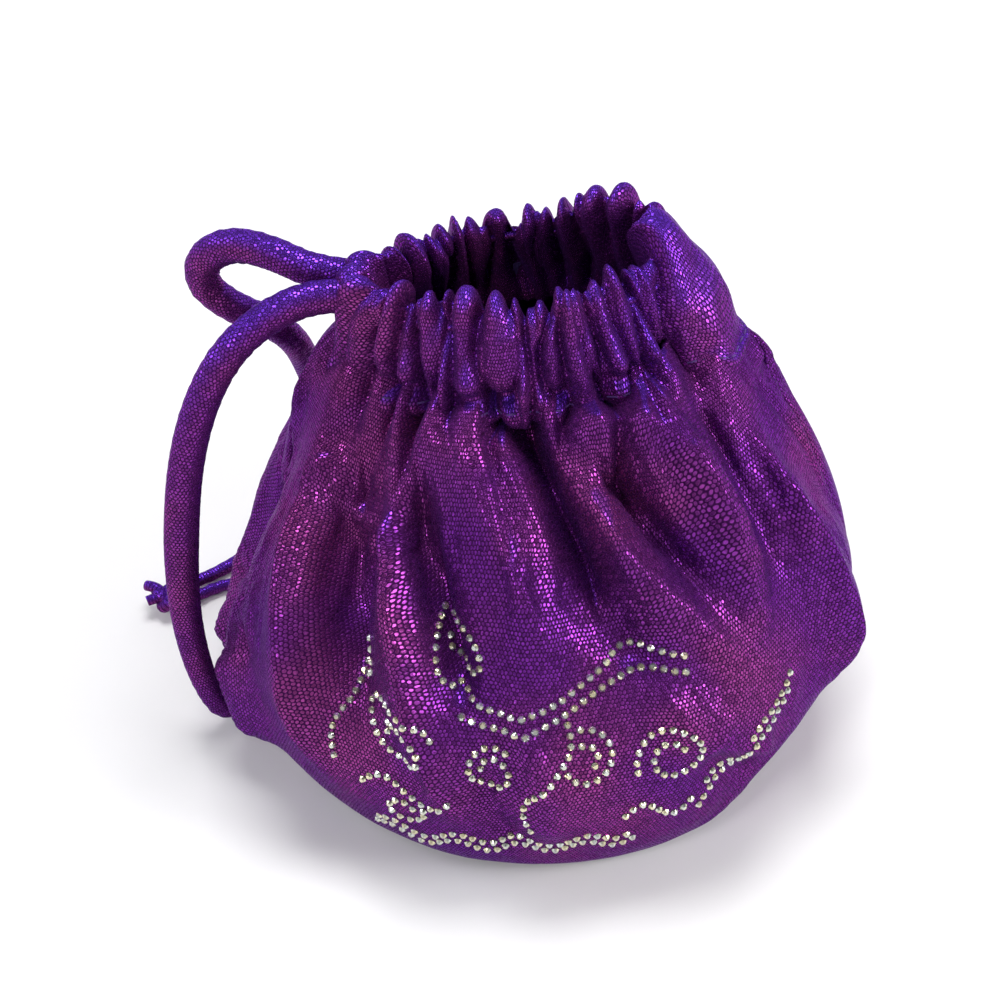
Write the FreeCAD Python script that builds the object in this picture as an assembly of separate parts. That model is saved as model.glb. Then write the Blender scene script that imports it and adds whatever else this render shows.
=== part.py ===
import FreeCAD, Part
import math
import os
from FreeCAD import Vector

# Drawstring pouch in stretch foil-dot fabric, decorated with crystal stones.
# Millimetres. X runs to the right along the mouth, Y runs from the decorated front panel to the
# back panel, and Z is up. The origin is under the middle of the bag, on the surface it stands on.

# ---- driving dimensions -------------------------------------------------------------------
# Sections of the filled bag: height, half width, half depth, and its centre's shift to the back.
BAG_SECTIONS = [
    (0.0, 54.0, 52.0, 0.0),
    (3.0, 62.0, 59.0, 0.0),
    (10.0, 69.5, 66.0, 0.0),
    (22.0, 75.5, 70.0, 0.0),
    (38.0, 78.5, 71.0, 0.0),
    (55.0, 77.5, 68.0, 0.5),
    (72.0, 71.5, 60.0, 3.0),
    (88.0, 62.0, 49.0, 7.0),
    (101.0, 51.5, 36.5, 10.5),
]
CLOTH = 1.2                     # cloth with its lining, as one wall
SEAM_ALLOWANCE_WIDTH = 5.0
SEAM_ALLOWANCE_THICKNESS = 1.6
SEAM_ALLOWANCE_TOP = 102.0      # it stops below the shoulder, clear of the drawstring

# The mouth: a casing gathered on the drawstring, its plane leaning up to the right.
MOUTH_BASE = Vector(-2.0, 12.0, 114.0)
MOUTH_LEAN = 8.0                # degrees
CASING_HALF_WIDTH = 42.0
CASING_HALF_DEPTH = 25.0
CASING_BULK = 9.5               # depth of the gathers, from the outside to the inside
CASING_HEIGHT = 23.0
CASING_ROUNDING = 3.0
CASING_LEFT_CUT = -33.0         # the gathers start here, measured along the mouth
CASING_RIGHT_CUT = 31.0         # and end here
SHOULDER_INSET = 1.0            # the shoulder is this much smaller than the casing that it carries
RUNNING_GAP = 0.3               # between the shoulder and the casing
CUT_OVERRUN = 2.0               # a cutting shape stands this far out of what it cuts
STITCH = 0.8                    # thread of the row that closes the casing
STITCH_HEIGHT = 1.6

# The drawstring: a limp tube of the same cloth, narrow where it is tied.
CORD = 7.5
CORD_TAIL = 4.0
CORD_IN_CHANNEL_GAP = 0.35
CHANNEL_HEIGHT = 16.0
CHANNEL_HALF_WIDTH = 37.0
CHANNEL_HALF_DEPTH = 20.0
EXIT_X = -43.0                  # along the mouth, where both ends leave the casing
EXIT_RUN = 5.5                  # straight length inside the left end
EXIT_A_Y = 5.35
EXIT_B_Y = -2.35
STRAIGHT_A = 8.0                # straight length outside the left end
STRAIGHT_B = 7.0
ARC_SHARE = 0.45                # the part of a run that an arc at its end takes
FLOOR_CORD = CORD / 2
FLOOR_TAIL = CORD_TAIL / 2

# Crystal stones: flat-backed, glued in rows.
STONE_RADIUS = 1.0
STONE_TABLE_RADIUS = 0.55
STONE_HEIGHT = 0.8
STONE_PITCH = 2.55
STONE_CLEARANCE = 0.05
ROW_GAP = 3.3                   # between the two rows of a double line
CURL_INNER_RADIUS = 2.4
CURVE_STEPS = 240
PROBE_REACH = 6.0               # the nearest cloth is looked for from this far out

BIG = 400.0                     # larger than the whole bag, for cutting it in two
TOUCHING = 0.01


# ---- small tools --------------------------------------------------------------------------
def ellipse_wire(half_width, half_depth):
    """A closed ellipse about the origin, in the XY plane."""
    if half_width >= half_depth:
        curve = Part.Ellipse(Vector(0, 0, 0), half_width, half_depth)
    else:
        curve = Part.Ellipse(Vector(0, half_depth, 0), Vector(half_width, 0, 0), Vector(0, 0, 0))
    return Part.Wire([curve.toShape()])


def to_mouth(shape):
    """Move a shape from the mouth's own frame to its leaning place on the bag."""
    shape.rotate(Vector(0, 0, 0), Vector(0, 1, 0), -MOUTH_LEAN)
    shape.translate(MOUTH_BASE)
    return shape


def mouth_point(x, y, z):
    """A point of the mouth's own frame, in the bag's frame."""
    lean = math.radians(MOUTH_LEAN)
    across = x * math.cos(lean) - z * math.sin(lean)
    up = x * math.sin(lean) + z * math.cos(lean)
    return MOUTH_BASE + Vector(across, y, up)


def slab(side, lift=0.0):
    """A big block in front of (-1) or behind (+1) the leaning plane of the side seams."""
    seam_lean = math.degrees(math.atan2(MOUTH_BASE.y, MOUTH_BASE.z))
    block = Part.makeBox(2 * BIG, BIG, 2 * BIG, Vector(-BIG, 0 if side > 0 else -BIG, -BIG))
    block.translate(Vector(0, lift, 0))
    block.rotate(Vector(0, 0, 0), Vector(1, 0, 0), -seam_lean)
    return block


def rounded_route(points):
    """Straight runs joined by tangent arcs: the wire, its length and the arcs' radii."""
    edges, radii, length = [], [], 0.0
    start = points[0]
    for before, corner, after in zip(points, points[1:], points[2:]):
        into = (corner - before).normalize()
        out = (after - corner).normalize()
        half_turn = into.getAngle(out) / 2
        run = min((corner - before).Length, (after - corner).Length)
        reach = ARC_SHARE * run
        radius = reach / math.tan(half_turn)
        first = corner - into * reach
        last = corner + out * reach
        inward = (out - into).normalize()
        middle = corner + inward * (radius / math.cos(half_turn) - radius)
        edges.append(Part.LineSegment(start, first).toShape())
        edges.append(Part.Arc(first, middle, last).toShape())
        length += (first - start).Length + 2 * half_turn * radius
        radii.append(radius)
        start = last
    edges.append(Part.LineSegment(start, points[-1]).toShape())
    length += (points[-1] - start).Length
    return Part.Wire(edges), length, radii


def tube(points, diameter, name=""):
    """A round cord along a rounded route. Prints its radii and compares its volume."""
    wire, length, radii = rounded_route(points)
    direction = points[1] - points[0]
    ring = Part.Wire([Part.makeCircle(diameter / 2, points[0], direction)])
    solid = wire.makePipeShell([ring], True, False)
    if name:
        share = solid.Volume / (math.pi * diameter ** 2 / 4 * length)
        print("%s length %.1f mm, volume share %.4f, tightest radius %.1f mm" % (
            name, length, share, min(radii)))
    return solid


# ---- the bag ------------------------------------------------------------------------------
def bag_solid(inset, top_lift):
    """The filled bag, shrunk by a wall's inset on every side, its top cut at the casing."""
    wires = []
    for height, half_width, half_depth, back in BAG_SECTIONS:
        wire = ellipse_wire(half_width - inset, half_depth - inset)
        wire.translate(Vector(0, back, height + (inset if height < CLOTH + inset else 0)))
        wires.append(wire)
    shoulder = ellipse_wire(
        CASING_HALF_WIDTH - SHOULDER_INSET - inset, CASING_HALF_DEPTH - SHOULDER_INSET - inset)
    shoulder.translate(Vector(0, 0, -RUNNING_GAP + top_lift))
    wires.append(to_mouth(shoulder))
    return Part.makeLoft(wires, True, False)


def panels():
    """The front and back panels, and the seam allowance inside the U-shaped seam that joins them."""
    outside = bag_solid(0.0, 0.0)
    inside = bag_solid(CLOTH, CUT_OVERRUN)
    shell = outside.cut(inside)
    front = shell.common(slab(-1))
    back = shell.common(slab(+1))
    hollow = bag_solid(CLOTH, 0.0)
    core = bag_solid(CLOTH + SEAM_ALLOWANCE_WIDTH, CUT_OVERRUN)
    half = SEAM_ALLOWANCE_THICKNESS / 2
    allowance = hollow.cut(core).common(slab(-1, half)).common(slab(+1, -half))
    below_shoulder = Part.makeBox(2 * BIG, 2 * BIG, SEAM_ALLOWANCE_TOP, Vector(-BIG, -BIG, 0))
    allowance = allowance.common(below_shoulder)
    return outside, front, back, allowance


# ---- the casing and the drawstring in it ------------------------------------------------------
def channel_half(exit_y, angles):
    """One half of the drawstring's way round the mouth, from its exit at the left end."""
    points = [Vector(EXIT_X, exit_y, CHANNEL_HEIGHT), Vector(EXIT_X + EXIT_RUN, exit_y, CHANNEL_HEIGHT)]
    for angle in angles:
        turn = math.radians(angle)
        points.append(Vector(
            CHANNEL_HALF_WIDTH * math.cos(turn), CHANNEL_HALF_DEPTH * math.sin(turn), CHANNEL_HEIGHT))
    return points


FRONT_ANGLES = [-153, -138, -119, -97, -73, -50, -30, -11]
FRONT_HALF = channel_half(EXIT_B_Y, FRONT_ANGLES)
BACK_HALF = channel_half(EXIT_A_Y, [-angle for angle in FRONT_ANGLES])


def casing_band():
    """The whole gathered casing in the mouth's own frame, before the channel is cut in it."""
    up = Vector(0, 0, CASING_HEIGHT)
    outer = Part.Face(ellipse_wire(CASING_HALF_WIDTH, CASING_HALF_DEPTH)).extrude(up)
    rim = [edge for edge in outer.Edges if abs(edge.CenterOfMass.z - CASING_HEIGHT) < TOUCHING]
    outer = outer.makeFillet(CASING_ROUNDING, rim)
    mouth = Part.Face(ellipse_wire(CASING_HALF_WIDTH - CASING_BULK, CASING_HALF_DEPTH - CASING_BULK))
    return outer.cut(mouth.extrude(up))


def box_between(x_low, x_high, y_low, y_high):
    """An upright block without end, for taking one stretch of the casing."""
    return Part.makeBox(x_high - x_low, y_high - y_low, 2 * BIG, Vector(x_low, y_low, -BIG))


def casing_pieces():
    """The casing's two plain ends and the gathers between them, each with its part of the channel."""
    band = casing_band()
    diameter = CORD + 2 * CORD_IN_CHANNEL_GAP
    front_channel = tube((FRONT_HALF + BACK_HALF[-1:])[::-1], diameter)
    back_channel = tube(BACK_HALF + FRONT_HALF[-1:], diameter)
    ends = {
        "casing_left_end": box_between(-BIG, CASING_LEFT_CUT, -BIG, BIG),
        "casing_right_end": box_between(CASING_RIGHT_CUT, BIG, -BIG, BIG),
    }
    finished = {name: to_mouth(band.common(place).cut(front_channel).cut(back_channel))
                for name, place in ends.items()}
    front = band.common(box_between(CASING_LEFT_CUT, CASING_RIGHT_CUT, -BIG, 0)).cut(front_channel)
    finished["casing_back_gathers"] = to_mouth(front.mirror(Vector(0, 0, 0), Vector(0, 1, 0)))
    finished["casing_front_gathers"] = to_mouth(front)
    return finished


def casing_stitching():
    """The row of thread round the foot of the casing, on its outside."""
    outer = Part.Face(ellipse_wire(CASING_HALF_WIDTH + STITCH, CASING_HALF_DEPTH + STITCH))
    inner = Part.Face(ellipse_wire(CASING_HALF_WIDTH, CASING_HALF_DEPTH))
    ring = outer.cut(inner).extrude(Vector(0, 0, STITCH))
    ring.translate(Vector(0, 0, STITCH_HEIGHT))
    return to_mouth(ring.common(box_between(CASING_LEFT_CUT, CASING_RIGHT_CUT, -BIG, BIG)))


# ---- the free ends of the drawstring ----------------------------------------------------------
STRAND_A = [
    mouth_point(EXIT_X, EXIT_A_Y, CHANNEL_HEIGHT),
    mouth_point(EXIT_X - STRAIGHT_A, EXIT_A_Y, CHANNEL_HEIGHT),
    Vector(-64.0, 22.0, 127.0),
    Vector(-74.0, 27.0, 126.0),
    Vector(-82.0, 30.0, 119.5),
    Vector(-83.5, 31.0, 110.5),
    Vector(-77.5, 31.5, 103.0),
    Vector(-69.0, 34.0, 96.0),
    Vector(-64.0, 40.0, 86.0),
    Vector(-62.0, 49.0, 72.0),
    Vector(-61.0, 58.0, 55.0),
    Vector(-59.5, 66.0, 40.0),
    Vector(-59.0, 70.0, 24.6),
    Vector(-61.6, 67.0, 15.1),
    Vector(-66.3, 61.4, 7.7),
    Vector(-72.5, 54.2, FLOOR_CORD),
    Vector(-77.0, 48.0, FLOOR_CORD),
]
STRAND_B = [
    mouth_point(EXIT_X, EXIT_B_Y, CHANNEL_HEIGHT),
    mouth_point(EXIT_X - STRAIGHT_B, EXIT_B_Y, CHANNEL_HEIGHT),
    Vector(-64.0, 5.0, 122.0),
    Vector(-74.0, 0.0, 115.0),
    Vector(-81.0, -4.5, 103.0),
    Vector(-85.5, -8.5, 88.0),
    Vector(-88.0, -11.5, 71.0),
    Vector(-89.5, -14.0, 53.0),
    Vector(-89.5, -16.0, 35.0),
    Vector(-87.0, -18.5, 19.0),
    Vector(-83.0, -19.0, 8.0),
    Vector(-79.0, -13.0, FLOOR_CORD),
    Vector(-76.5, -3.0, FLOOR_CORD),
    Vector(-76.0, 9.0, FLOOR_CORD),
    Vector(-76.5, 19.0, FLOOR_CORD),
]
TAIL_A = [
    Vector(-77.0, 48.0, FLOOR_TAIL),
    Vector(-82.5, 41.0, FLOOR_TAIL),
    Vector(-90.5, 34.5, FLOOR_TAIL),
    Vector(-97.0, 30.5, FLOOR_TAIL),
    Vector(-100.5, 26.0, FLOOR_TAIL + 1.0),
]
TAIL_B = [
    Vector(-76.5, 19.0, FLOOR_TAIL),
    Vector(-76.8, 23.5, FLOOR_TAIL),
    Vector(-78.5, 27.5, FLOOR_TAIL),
    Vector(-82.0, 30.5, FLOOR_TAIL),
    Vector(-86.5, 30.8, FLOOR_TAIL),
    Vector(-91.5, 28.0, FLOOR_TAIL),
    Vector(-97.5, 23.0, FLOOR_TAIL + 1.0),
]
KNOT_LOBES = [
    (Vector(-102.5, 22.0, 4.4), 4.4),
    (Vector(-104.2, 24.4, 4.6), 3.4),
    (Vector(-100.6, 24.6, 4.0), 3.2),
]
KNOT_TIPS = [
    [Vector(-105.0, 24.0, 5.0), Vector(-108.5, 27.5, 5.6), Vector(-111.5, 31.5, 6.0)],
    [Vector(-104.0, 20.5, 4.0), Vector(-107.5, 17.5, 3.0), Vector(-110.0, 13.5, 2.4)],
]


def knot():
    """An overhand knot in both ends, as one lump, with the two tips that stand out of it."""
    lumps = [Part.makeSphere(radius, centre) for centre, radius in KNOT_LOBES]
    lumps += [tube(tip, CORD_TAIL) for tip in KNOT_TIPS]
    return lumps[0].fuse(lumps[1:])


# ---- the crystal stones -----------------------------------------------------------------------
def curl(x, height, radius, turns, start, hand):
    """A scroll that winds in from its outer radius, as close points seen from the front."""
    points = []
    for step in range(CURVE_STEPS + 1):
        share = step / CURVE_STEPS
        turn = math.radians(start + hand * 360 * turns * share)
        reach = radius + (CURL_INNER_RADIUS - radius) * share
        points.append((x + reach * math.cos(turn), height + reach * math.sin(turn)))
    return points


def vine(start, end, swing, waves):
    """A wavy line between two places, as close points seen from the front."""
    run, rise = end[0] - start[0], end[1] - start[1]
    length = math.hypot(run, rise)
    points = []
    for step in range(CURVE_STEPS + 1):
        share = step / CURVE_STEPS
        side = swing * math.sin(2 * math.pi * waves * share)
        points.append((start[0] + run * share - rise / length * side,
                       start[1] + rise * share + run / length * side))
    return points


def double(start, end, swing, waves):
    """Two rows of stones side by side."""
    upper = ((start[0], start[1] + ROW_GAP), (end[0], end[1] + ROW_GAP))
    return [vine(start, end, swing, waves), vine(upper[0], upper[1], swing, waves)]


STONE_ROWS = {
    "rhinestones_centre": double((-19, 56), (35, 64), -3.0, 1.0) + [
        curl(-19, 66, 7.0, 1.3, -90, -1), vine((4, 60), (-2, 28), 4.0, 1.0),
        curl(10, 48, 7.5, 1.5, 130, -1), curl(-12, 44, 6.5, 1.4, 60, 1)],
    "rhinestones_left": [
        curl(-34, 50, 8.0, 1.5, 20, 1), vine((-50, 36), (-41, 62), 2.5, 1.0),
        vine((-43, 33), (-22, 36), 3.0, 1.0), curl(-33, 28, 5.5, 1.2, 90, -1)],
    "rhinestones_right": [curl(31, 46, 9.0, 1.6, 200, -1), vine((20, 30), (36, 30), 3.0, 1.0)],
    "rhinestones_hem": double((-40, 15), (22, 20), 2.0, 4.0) + double((38, 26), (60, 49), 1.0, 2.0),
}


def front_depth(x, height):
    """Y of the front of the bag, worked out between its sections."""
    for low, high in zip(BAG_SECTIONS, BAG_SECTIONS[1:]):
        if low[0] <= height <= high[0]:
            share = (height - low[0]) / (high[0] - low[0])
            half_width, half_depth, back = [a + (b - a) * share for a, b in zip(low[1:], high[1:])]
            return back - half_depth * math.sqrt(1 - (x / half_width) ** 2)
    raise ValueError("no section at that height")


def stone(outside, near):
    """One flat-backed stone, its back on the cloth nearest a place and its table facing out."""
    outward = Vector(near.x, near.y - outside.BoundBox.Center.y, 0).normalize()
    probe = Part.Vertex(near + outward * PROBE_REACH)
    on_cloth = outside.distToShape(probe)[1][0][0]
    normal = (probe.Point - on_cloth).normalize()
    return Part.makeCone(
        STONE_RADIUS, STONE_TABLE_RADIUS, STONE_HEIGHT, on_cloth + normal * STONE_CLEARANCE, normal)


def stones(outside, rows, taken):
    """The stones of one motif, a pitch apart along each row and clear of every stone before them."""
    solids = []
    for row in rows:
        for x, height in row:
            near = Vector(x, front_depth(x, height), height)
            if all((near - other).Length >= STONE_PITCH for other in taken):
                taken.append(near)
                solids.append(stone(outside, near))
    return Part.makeCompound(solids)


# ---- write one file per node --------------------------------------------------------------
os.makedirs("parts", exist_ok=True)
outside, front, back, allowance = panels()
nodes = {
    "front_panel": front,
    "back_panel": back,
    "seam_allowance": allowance,
    "casing_stitching": casing_stitching(),
    "drawstring_in_casing": to_mouth(tube(FRONT_HALF + BACK_HALF[::-1], CORD, "drawstring_in_casing")),
    "drawstring_strand_a": tube(STRAND_A, CORD, "drawstring_strand_a"),
    "drawstring_strand_b": tube(STRAND_B, CORD, "drawstring_strand_b"),
    "drawstring_tail_a": tube(TAIL_A, CORD_TAIL, "drawstring_tail_a"),
    "drawstring_tail_b": tube(TAIL_B, CORD_TAIL, "drawstring_tail_b"),
    "drawstring_knot": knot(),
}
nodes.update(casing_pieces())
placed = []
for name, rows in STONE_ROWS.items():
    nodes[name] = stones(outside, rows, placed)
for name, shape in nodes.items():
    box = shape.optimalBoundingBox(False, False)
    print("%-24s solids %d valid %s volume %9.1f  x %6.1f %6.1f  y %6.1f %6.1f  z %6.1f %6.1f" % (
        name, len(shape.Solids), shape.isValid(), shape.Volume,
        box.XMin, box.XMax, box.YMin, box.YMax, box.ZMin, box.ZMax))
    shape.exportStep(os.path.join("parts", name + ".step"))
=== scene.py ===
import math
import random

import bmesh
import bpy
import numpy as np
from mathutils import Matrix, Quaternion, Vector
from mathutils.bvhtree import BVHTree


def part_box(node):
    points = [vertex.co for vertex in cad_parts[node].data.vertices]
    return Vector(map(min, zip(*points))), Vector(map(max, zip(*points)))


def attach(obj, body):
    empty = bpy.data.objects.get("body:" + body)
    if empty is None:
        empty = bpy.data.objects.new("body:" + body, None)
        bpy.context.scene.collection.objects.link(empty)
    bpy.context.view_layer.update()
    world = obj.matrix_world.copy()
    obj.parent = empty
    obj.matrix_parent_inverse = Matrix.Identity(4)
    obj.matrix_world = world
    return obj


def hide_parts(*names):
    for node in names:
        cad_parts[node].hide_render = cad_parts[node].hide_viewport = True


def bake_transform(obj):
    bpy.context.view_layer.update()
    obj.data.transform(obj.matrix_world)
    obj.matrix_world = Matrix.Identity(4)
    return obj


# A drawstring pouch of stretch foil-dot cloth, puffed out and standing on a table. Metres, in the frame's axes:
# X to the right along the mouth, Y to the back, Z up. The shapes are worked out in millimetres.

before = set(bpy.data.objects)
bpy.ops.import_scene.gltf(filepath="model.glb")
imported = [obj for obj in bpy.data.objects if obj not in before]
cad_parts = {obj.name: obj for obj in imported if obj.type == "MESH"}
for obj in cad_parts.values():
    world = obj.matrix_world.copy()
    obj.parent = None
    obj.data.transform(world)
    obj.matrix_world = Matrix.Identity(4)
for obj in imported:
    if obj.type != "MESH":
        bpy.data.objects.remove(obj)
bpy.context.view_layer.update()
MM = 0.001
BAG, RIGHT_END = "pouch", "casing_right"

# ---- the bag's driving shape, in millimetres, as in the CAD model ----
SECTIONS = [      # height, half width, half depth, shift to the right, shift to the back
    (0.0, 54.0, 52.0, 0.0, 0.0),
    (3.0, 62.0, 59.0, 0.0, 0.0),
    (10.0, 69.5, 66.0, 0.0, 0.0),
    (22.0, 75.5, 70.0, 0.0, 0.0),
    (38.0, 78.5, 71.0, 0.0, 0.0),
    (55.0, 77.5, 68.0, 0.0, 0.5),
    (72.0, 71.5, 60.0, 0.0, 3.0),
    (88.0, 62.0, 49.0, -0.5, 7.0),
    (101.0, 51.5, 36.5, -1.5, 10.5),
    (114.0, 40.0, 23.0, -2.0, 12.0),
]
MOUTH_BASE = np.array([-2.0, 12.0, 114.0])
MOUTH_LEAN = math.radians(8.0)


def smooth(low, high, value):
    """0 below low, 1 above high, and an even S between them."""
    share = np.clip((value - low) / (high - low), 0.0, 1.0)
    return share * share * (3.0 - 2.0 * share)


def running_total(steps):
    """0, and then the sum of the steps up to each."""
    return np.concatenate([[0], np.cumsum(steps)])


def line_through(table, steps):
    """A smooth line through the rows of a table, with this many points to each gap between rows."""
    table = np.array(table)
    fine = []
    for k in range(len(table) - 1):
        before, a, b, after = table[max(k - 1, 0)], table[k], table[k + 1], table[min(k + 2, len(table) - 1)]
        m, n = (b - before) / 2, (after - a) / 2
        for share in np.linspace(0, 1, steps, endpoint=False):
            fine.append((2 * share ** 3 - 3 * share ** 2 + 1) * a + (share ** 3 - 2 * share ** 2 + share) * m
                        + (3 * share ** 2 - 2 * share ** 3) * b + (share ** 3 - share ** 2) * n)
    return np.array(fine + [table[-1]])


def across_line(tangent, first):
    """Two directions across a line at each of its points, carried along it without a twist."""
    side = np.cross(tangent[0], first)
    sides = []
    for along in tangent:
        side = side - along * np.dot(side, along)
        side /= np.linalg.norm(side)
        sides.append(side)
    return np.array(sides), np.cross(tangent, sides)


def mouth_point(x, y, z):
    """Points of the mouth's own leaning frame, in the bag's frame. Takes arrays."""
    return np.stack([
        MOUTH_BASE[0] + x * math.cos(MOUTH_LEAN) - z * math.sin(MOUTH_LEAN),
        MOUTH_BASE[1] + y + 0 * x,
        MOUTH_BASE[2] + x * math.sin(MOUTH_LEAN) + z * math.cos(MOUTH_LEAN)], axis=-1)


# ---- camera ----
CAMERA_ELEVATION, CAMERA_DISTANCE, CAMERA_LENS = math.radians(45.0), 0.550, 79.2
CAMERA_TARGET, CAMERA_CLIP = Vector((-0.010, 0.0, 0.066)), 0.01


def make_camera():
    """The camera looks down on the bag from the front."""
    data = bpy.data.cameras.new("camera")
    data.lens = CAMERA_LENS
    data.clip_start = CAMERA_CLIP
    camera = bpy.data.objects.new("camera", data)
    away = Vector((0.0, -math.cos(CAMERA_ELEVATION), math.sin(CAMERA_ELEVATION)))
    camera.location = CAMERA_TARGET + CAMERA_DISTANCE * away
    camera.rotation_euler = (CAMERA_TARGET - camera.location).to_track_quat("-Z", "Y").to_euler()
    bpy.context.collection.objects.link(camera)
    bpy.context.scene.camera = camera


# ---- mesh helpers ----
def link(name, mesh):
    """A new object in the scene."""
    piece = bpy.data.objects.new(name, mesh)
    bpy.context.collection.objects.link(piece)
    return piece


def grid_mesh(name, points, uv, closed=False, caps=False, looped=False):
    """A mesh from rows x columns of points in millimetres, with a UV map in millimetres. closed joins the
    last column to the first, and looped the last row to the first. caps closes the first and last rows."""
    rows, columns = points.shape[:2]
    across = columns if closed else columns - 1
    index = np.arange(rows * columns).reshape(rows, columns)
    faces, corners = [], []
    for j in range(rows - 1):
        for i in range(across):
            k = (i + 1) % columns
            faces.append((index[j, i], index[j, k], index[j + 1, k], index[j + 1, i]))
            corners += [(j, i), (j, i + 1), (j + 1, i + 1), (j + 1, i)]
    if looped:
        for i in range(across):
            k = (i + 1) % columns
            faces.append((index[-1, i], index[-1, k], index[0, k], index[0, i]))
            corners += [(rows - 1, i), (rows - 1, i + 1), (rows - 1, i + 1), (rows - 1, i)]
    if caps:
        faces.append(tuple(index[0, ::-1]))
        corners += [(0, i) for i in range(columns)][::-1]
        faces.append(tuple(index[-1]))
        corners += [(rows - 1, i) for i in range(columns)]
    mesh = bpy.data.meshes.new(name)
    mesh.from_pydata((points.reshape(-1, 3) * MM).tolist(), [], [tuple(int(v) for v in f) for f in faces])
    layer = mesh.uv_layers.new(name="cloth")
    if closed:
        last = uv[:, -1:] + (uv[:, 1:2] - uv[:, :1])
        uv = np.concatenate([uv, last], axis=1)
    where = np.array(corners)
    layer.data.foreach_set("uv", uv[where[:, 0], where[:, 1]].astype(np.float32).ravel())
    mesh.polygons.foreach_set("use_smooth", [True] * len(mesh.polygons))
    mesh.update()
    return link(name, mesh)


def normals_of(points, closed):
    """Unit normals of a grid of points, to the outside when columns run anticlockwise and rows run up."""
    if closed:
        along = np.roll(points, -1, axis=1) - np.roll(points, 1, axis=1)
    else:
        along = np.gradient(points, axis=1)
    up = np.gradient(points, axis=0)
    normal = np.cross(along, up)
    length = np.linalg.norm(normal, axis=-1, keepdims=True)
    return normal / np.maximum(length, 1e-9)


# ---- cords ----
STRAND_A = [
    (-0.0468, 0.01735, 0.1239), (-0.0547, 0.01735, 0.1250), (-0.0640, 0.0220, 0.1270),
    (-0.0740, 0.0270, 0.1260), (-0.0820, 0.0300, 0.1195), (-0.0835, 0.0310, 0.1105),
    (-0.0775, 0.0315, 0.1030), (-0.0690, 0.0340, 0.0960), (-0.0640, 0.0400, 0.0860),
    (-0.0620, 0.0490, 0.0720), (-0.0610, 0.0580, 0.0550), (-0.0595, 0.0660, 0.0400),
    (-0.0590, 0.0700, 0.0246), (-0.0616, 0.0670, 0.0151), (-0.0663, 0.0614, 0.0077),
    (-0.0725, 0.0542, 0.0030), (-0.0770, 0.0480, 0.0024), (-0.0825, 0.0410, 0.0020),
    (-0.0905, 0.0345, 0.0020), (-0.0970, 0.0305, 0.0022), (-0.1005, 0.0260, 0.0034),
]
STRAND_B = [
    (-0.0468, 0.00965, 0.1239), (-0.0537, 0.00965, 0.1240), (-0.0640, 0.0050, 0.1220),
    (-0.0740, 0.0000, 0.1150), (-0.0810, -0.0045, 0.1030), (-0.0855, -0.0085, 0.0880),
    (-0.0880, -0.0115, 0.0710), (-0.0895, -0.0140, 0.0530), (-0.0895, -0.0160, 0.0350),
    (-0.0870, -0.0185, 0.0190), (-0.0830, -0.0190, 0.0070), (-0.0790, -0.0130, 0.0028),
    (-0.0765, -0.0030, 0.0026), (-0.0760, 0.0090, 0.0024), (-0.0765, 0.0190, 0.0022),
    (-0.0768, 0.0235, 0.0020), (-0.0785, 0.0275, 0.0020), (-0.0820, 0.0305, 0.0020),
    (-0.0865, 0.0308, 0.0020), (-0.0915, 0.0280, 0.0022), (-0.0975, 0.0230, 0.0032),
]
# Half thickness of the cord along its length: full at the casing, narrow where it is tied.
THICKNESS_A = [(0.0, 4.1), (0.28, 4.2), (0.45, 3.7), (0.75, 2.9), (0.86, 1.9), (1.0, 1.5)]
THICKNESS_B = [(0.0, 4.1), (0.40, 4.2), (0.55, 3.6), (0.72, 2.6), (0.80, 2.2), (0.90, 1.6), (1.0, 1.5)]
CORD_STEP, CORD_AROUND = 0.0011, 20               # metres between its rings, and points to a ring
CORD_FLATNESS, CORD_WRINKLE = 0.06, 0.10
CORD_SEAM_ANGLE, CORD_SEAM_WIDTH, CORD_SEAM_DEPTH = 2.2, 0.16, 0.45
CORD_CLOTH_WIDTH = 24.0                           # the cloth that the cord is sewn from, laid flat


def spline_points(name, route):
    """Points along the smooth line that the route's points control, in metres."""
    curve = bpy.data.curves.new(name + "_line", "CURVE")
    curve.dimensions = "3D"
    curve.resolution_u = 12
    spline = curve.splines.new("NURBS")
    spline.points.add(len(route) - 1)
    for point, place in zip(spline.points, route):
        point.co = (*place, 1.0)
    spline.order_u = 3
    spline.use_endpoint_u = True
    line = bpy.data.objects.new(name + "_line", curve)
    bpy.context.collection.objects.link(line)
    bpy.context.view_layer.update()
    mesh = bpy.data.meshes.new_from_object(line)
    points = np.array([v.co for v in mesh.vertices])
    bpy.data.objects.remove(line)
    bpy.data.meshes.remove(mesh)
    return points


def even_points(points, step):
    """The same line, with points a step apart."""
    lengths = running_total(np.linalg.norm(np.diff(points, axis=0), axis=1))
    count = max(8, int(lengths[-1] / step))
    wanted = np.linspace(0, lengths[-1], count)
    return np.stack([np.interp(wanted, lengths, points[:, k]) for k in range(3)], axis=1), wanted


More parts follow.
